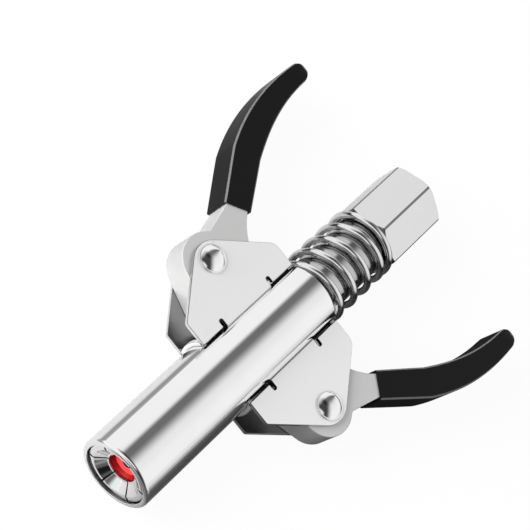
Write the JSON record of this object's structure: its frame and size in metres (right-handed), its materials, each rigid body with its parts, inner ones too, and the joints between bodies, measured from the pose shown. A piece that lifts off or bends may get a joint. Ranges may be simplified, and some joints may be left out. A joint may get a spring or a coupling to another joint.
{
  "type": "grease coupler",
  "caption": "Lever-operated grease coupler: spring-loaded sleeve closes split jaws round a grease fitting, with twin squeeze levers, red seal and hexagon inlet.",
  "frame": {"origin": "centre of the inlet's mouth, on the axis of the stem, at the end face of the hexagon", "axes": "+X along the stem axis, out of the inlet, so the nose points to -X; +Y towards the left lever, as seen facing the nose; +Z along the lever rivets, up when the coupler lies flat"},
  "size_m": [0.1206, 0.0958, 0.0204],
  "materials": {
    "chrome_steel": "bright nickel and chrome plating",
    "plate_steel": "satin nickel plating on stamped sheet",
    "lever_steel": "tumbled, satin plated",
    "spring_steel": "bright drawn wire",
    "brass": "turned",
    "red_rubber": "smooth moulded",
    "black_rubber": "smooth moulded",
    "grip_vinyl": "dipped vinyl, soft gloss"
  },
  "bodies": {
    "stem": {"stem": "chrome_steel", "carrier_washer": "brass", "jaw_carrier": "plate_steel", "check_spring": "spring_steel", "seal_washer": "brass", "seal": "red_rubber", "seal_cap": "brass", "jaw_ring": "black_rubber", "main_spring": "spring_steel"},
    "check_ball": {"check_ball": "chrome_steel"},
    "jaw_1": {"jaw_1": "chrome_steel"},
    "jaw_2": {"jaw_2": "chrome_steel"},
    "jaw_3": {"jaw_3": "chrome_steel"},
    "jaw_4": {"jaw_4": "chrome_steel"},
    "jaw_5": {"jaw_5": "chrome_steel"},
    "jaw_6": {"jaw_6": "chrome_steel"},
    "sleeve": {"sleeve": "chrome_steel", "left_bracket": "plate_steel", "right_bracket": "plate_steel", "left_rivet": "chrome_steel", "right_rivet": "chrome_steel"},
    "left_lever": {"left_lever": "lever_steel", "left_grip": "grip_vinyl"},
    "right_lever": {"right_lever": "lever_steel", "right_grip": "grip_vinyl"}
  },
  "joints": [
    {"name": "sleeve_slide", "type": "slide", "parent": "stem", "child": "sleeve", "axis": [1, 0, 0], "range_m": [0, 0.00519], "stiffness_N_per_m": 6000, "springref_m": -0.005, "deforming": ["main_spring"]},
    {"name": "left_lever_pivot", "type": "hinge", "parent": "sleeve", "child": "left_lever", "pos_m": [-0.0656, 0.0233, 0], "axis": [0, 0, 1], "range_deg": [-18, 0]},
    {"name": "right_lever_pivot", "type": "hinge", "parent": "sleeve", "child": "right_lever", "pos_m": [-0.0656, -0.0233, 0], "axis": [0, 0, 1], "range_deg": [0, 18]},
    {"name": "jaw_1_tilt", "type": "hinge", "parent": "stem", "child": "jaw_1", "pos_m": [-0.1046, 0.007, 0], "axis": [0, 0, -1], "range_deg": [0, 2.2]},
    {"name": "jaw_2_tilt", "type": "hinge", "parent": "stem", "child": "jaw_2", "pos_m": [-0.1046, 0.0035, 0.00606], "axis": [0, 0.866, -0.5], "range_deg": [0, 2.2]},
    {"name": "jaw_3_tilt", "type": "hinge", "parent": "stem", "child": "jaw_3", "pos_m": [-0.1046, -0.0035, 0.00606], "axis": [0, 0.866, 0.5], "range_deg": [0, 2.2]},
    {"name": "jaw_4_tilt", "type": "hinge", "parent": "stem", "child": "jaw_4", "pos_m": [-0.1046, -0.007, 0], "axis": [0, 0, 1], "range_deg": [0, 2.2]},
    {"name": "jaw_5_tilt", "type": "hinge", "parent": "stem", "child": "jaw_5", "pos_m": [-0.1046, -0.0035, -0.00606], "axis": [0, -0.866, 0.5], "range_deg": [0, 2.2]},
    {"name": "jaw_6_tilt", "type": "hinge", "parent": "stem", "child": "jaw_6", "pos_m": [-0.1046, 0.0035, -0.00606], "axis": [0, -0.866, -0.5], "range_deg": [0, 2.2]},
    {"name": "check_ball_lift", "type": "slide", "parent": "stem", "child": "check_ball", "axis": [-1, 0, 0], "range_m": [0, 0.0015], "stiffness_N_per_m": 120, "springref_m": -0.004, "deforming": ["check_spring"]}
  ],
  "couplings": [
    {"joint": "left_lever_pivot", "follows": "sleeve_slide", "rad_per_m": -60.47},
    {"joint": "right_lever_pivot", "follows": "sleeve_slide", "rad_per_m": 60.47},
    {"joint": "jaw_1_tilt", "follows": "sleeve_slide", "rad_per_m": 7.39},
    {"joint": "jaw_2_tilt", "follows": "sleeve_slide", "rad_per_m": 7.39},
    {"joint": "jaw_3_tilt", "follows": "sleeve_slide", "rad_per_m": 7.39},
    {"joint": "jaw_4_tilt", "follows": "sleeve_slide", "rad_per_m": 7.39},
    {"joint": "jaw_5_tilt", "follows": "sleeve_slide", "rad_per_m": 7.39},
    {"joint": "jaw_6_tilt", "follows": "sleeve_slide", "rad_per_m": 7.39}
  ]
}
